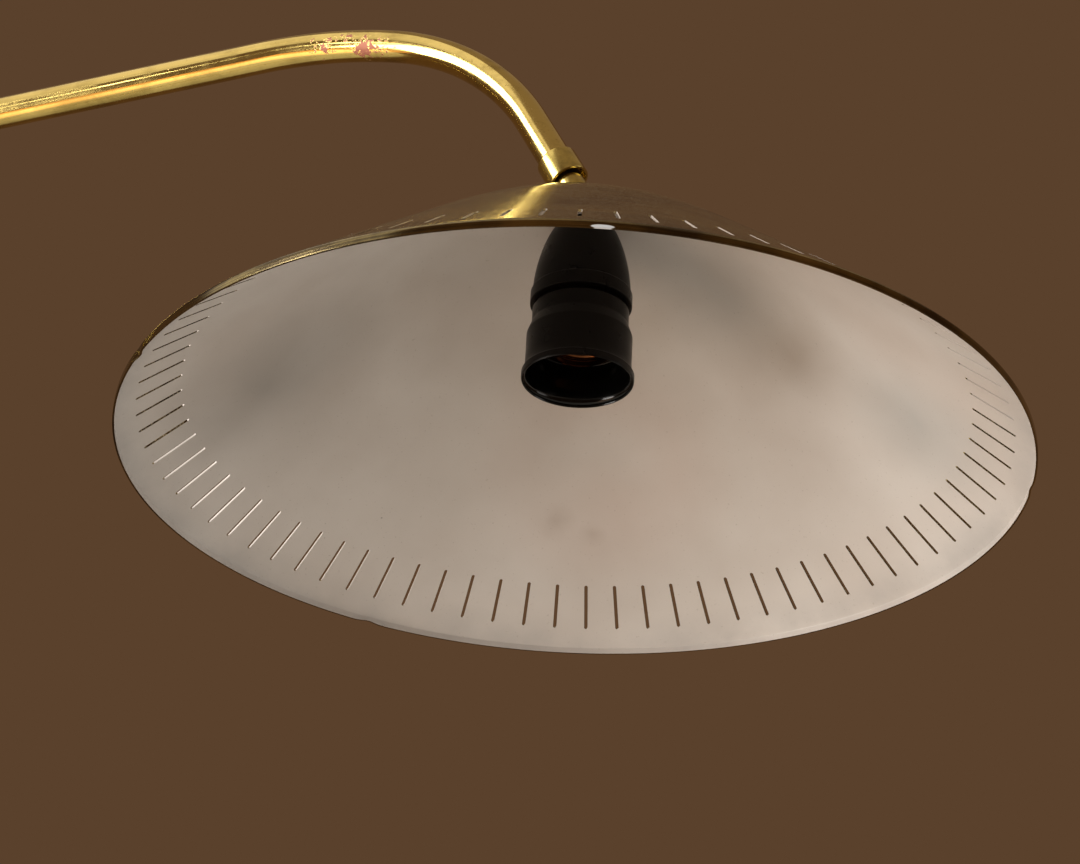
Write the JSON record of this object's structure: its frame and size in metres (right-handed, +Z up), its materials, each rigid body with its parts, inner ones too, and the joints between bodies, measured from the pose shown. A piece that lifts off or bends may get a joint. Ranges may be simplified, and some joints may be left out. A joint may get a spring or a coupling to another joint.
{
  "type": "bridge floor lamp",
  "caption": "Bridge floor lamp with a weighted base, a telescoping brass pole and a bent tilting arm that holds a wide slotted brass shade and a bakelite screw lampholder.",
  "frame": {"origin": "centre of the base's underside, on the floor", "axes": "+Z up along the pole, +X along the arm towards the shade, +Y away from the thumbscrew on the pole"},
  "size_m": [0.7932, 0.36, 1.3953],
  "materials": {
    "polished_brass": "polished, unlacquered, with a few corrosion spots",
    "dull_brass": "spun and aged",
    "shade_brass": "spun brass outside, aged; warm white lacquer inside",
    "plated_steel": "turned",
    "contact_brass": "pressed",
    "grey_iron": "as cast",
    "felt": "felt",
    "black_rubber": "moulded",
    "white_nylon": "moulded",
    "vulcanised_fibre": "pressed sheet",
    "bakelite": "moulded, glossy",
    "porcelain": "unglazed"
  },
  "bodies": {
    "base": {"felt_pad": "felt", "base_weight": "grey_iron", "base_cover": "dull_brass", "inlet_bush": "black_rubber", "base_stud": "dull_brass", "base_washer": "plated_steel", "base_nut": "plated_steel", "pole_foot": "polished_brass", "lower_tube": "polished_brass", "tube_plug": "dull_brass", "clamp_collar": "polished_brass", "guide_bush": "white_nylon", "collar_screw": "plated_steel"},
    "height_screw": {"height_screw": "polished_brass"},
    "upper_pole": {"upper_tube": "polished_brass", "slider_bush": "white_nylon", "swivel_socket": "polished_brass", "stop_screw": "plated_steel"},
    "swivel": {"swivel_fork": "polished_brass", "thrust_washer": "white_nylon", "swivel_washer": "plated_steel", "swivel_nut": "plated_steel", "pivot_bolt": "polished_brass", "friction_washers": "vulcanised_fibre", "spring_washer": "plated_steel"},
    "tilt_knob": {"tilt_knob": "polished_brass"},
    "arm": {"arm_knuckle": "polished_brass", "arm_tube": "polished_brass", "ferrule_screw": "plated_steel", "head_collar": "polished_brass", "swivel_bush": "dull_brass"},
    "head_swivel": {"head_stem": "polished_brass", "stem_nut": "plated_steel", "pivot_screws": "plated_steel"},
    "head": {"head_knuckle": "polished_brass", "crown_washer": "polished_brass", "shade": "shade_brass", "holder_cap": "bakelite", "cap_screw": "plated_steel", "holder_shell": "bakelite", "holder_insert": "porcelain", "screw_shell": "contact_brass", "centre_contact": "contact_brass", "side_contact": "contact_brass", "terminal_screws": "plated_steel"}
  },
  "joints": [
    {"name": "height_slide", "type": "slide", "parent": "base", "child": "upper_pole", "axis": [0, 0, 1], "range_m": [-0.25, 0.15]},
    {"name": "height_screw_turn", "type": "hinge", "parent": "base", "child": "height_screw", "pos_m": [0, -0.02, 0.797], "axis": [0, -1, 0], "range_deg": [0, 360]},
    {"name": "arm_swivel", "type": "hinge", "parent": "upper_pole", "child": "swivel", "pos_m": [0, 0, 1.349], "axis": [0, 0, 1], "range_deg": [-160, 160]},
    {"name": "arm_tilt", "type": "hinge", "parent": "swivel", "child": "arm", "pos_m": [0, 0, 1.38], "axis": [0, -1, 0], "range_deg": [-30, 45]},
    {"name": "tilt_knob_turn", "type": "hinge", "parent": "swivel", "child": "tilt_knob", "pos_m": [0, 0.0169, 1.38], "axis": [0, 1, 0], "range_deg": [0, 360]},
    {"name": "head_swivel_turn", "type": "hinge", "parent": "arm", "child": "head_swivel", "pos_m": [0.47023, 0, 1.28246], "axis": [-0.4848, 0, 0.8746], "range_deg": [-170, 170]},
    {"name": "head_tilt", "type": "hinge", "parent": "head_swivel", "child": "head", "pos_m": [0.47023, 0, 1.28246], "axis": [0, 1, 0], "range_deg": [-60, 45]}
  ]
}
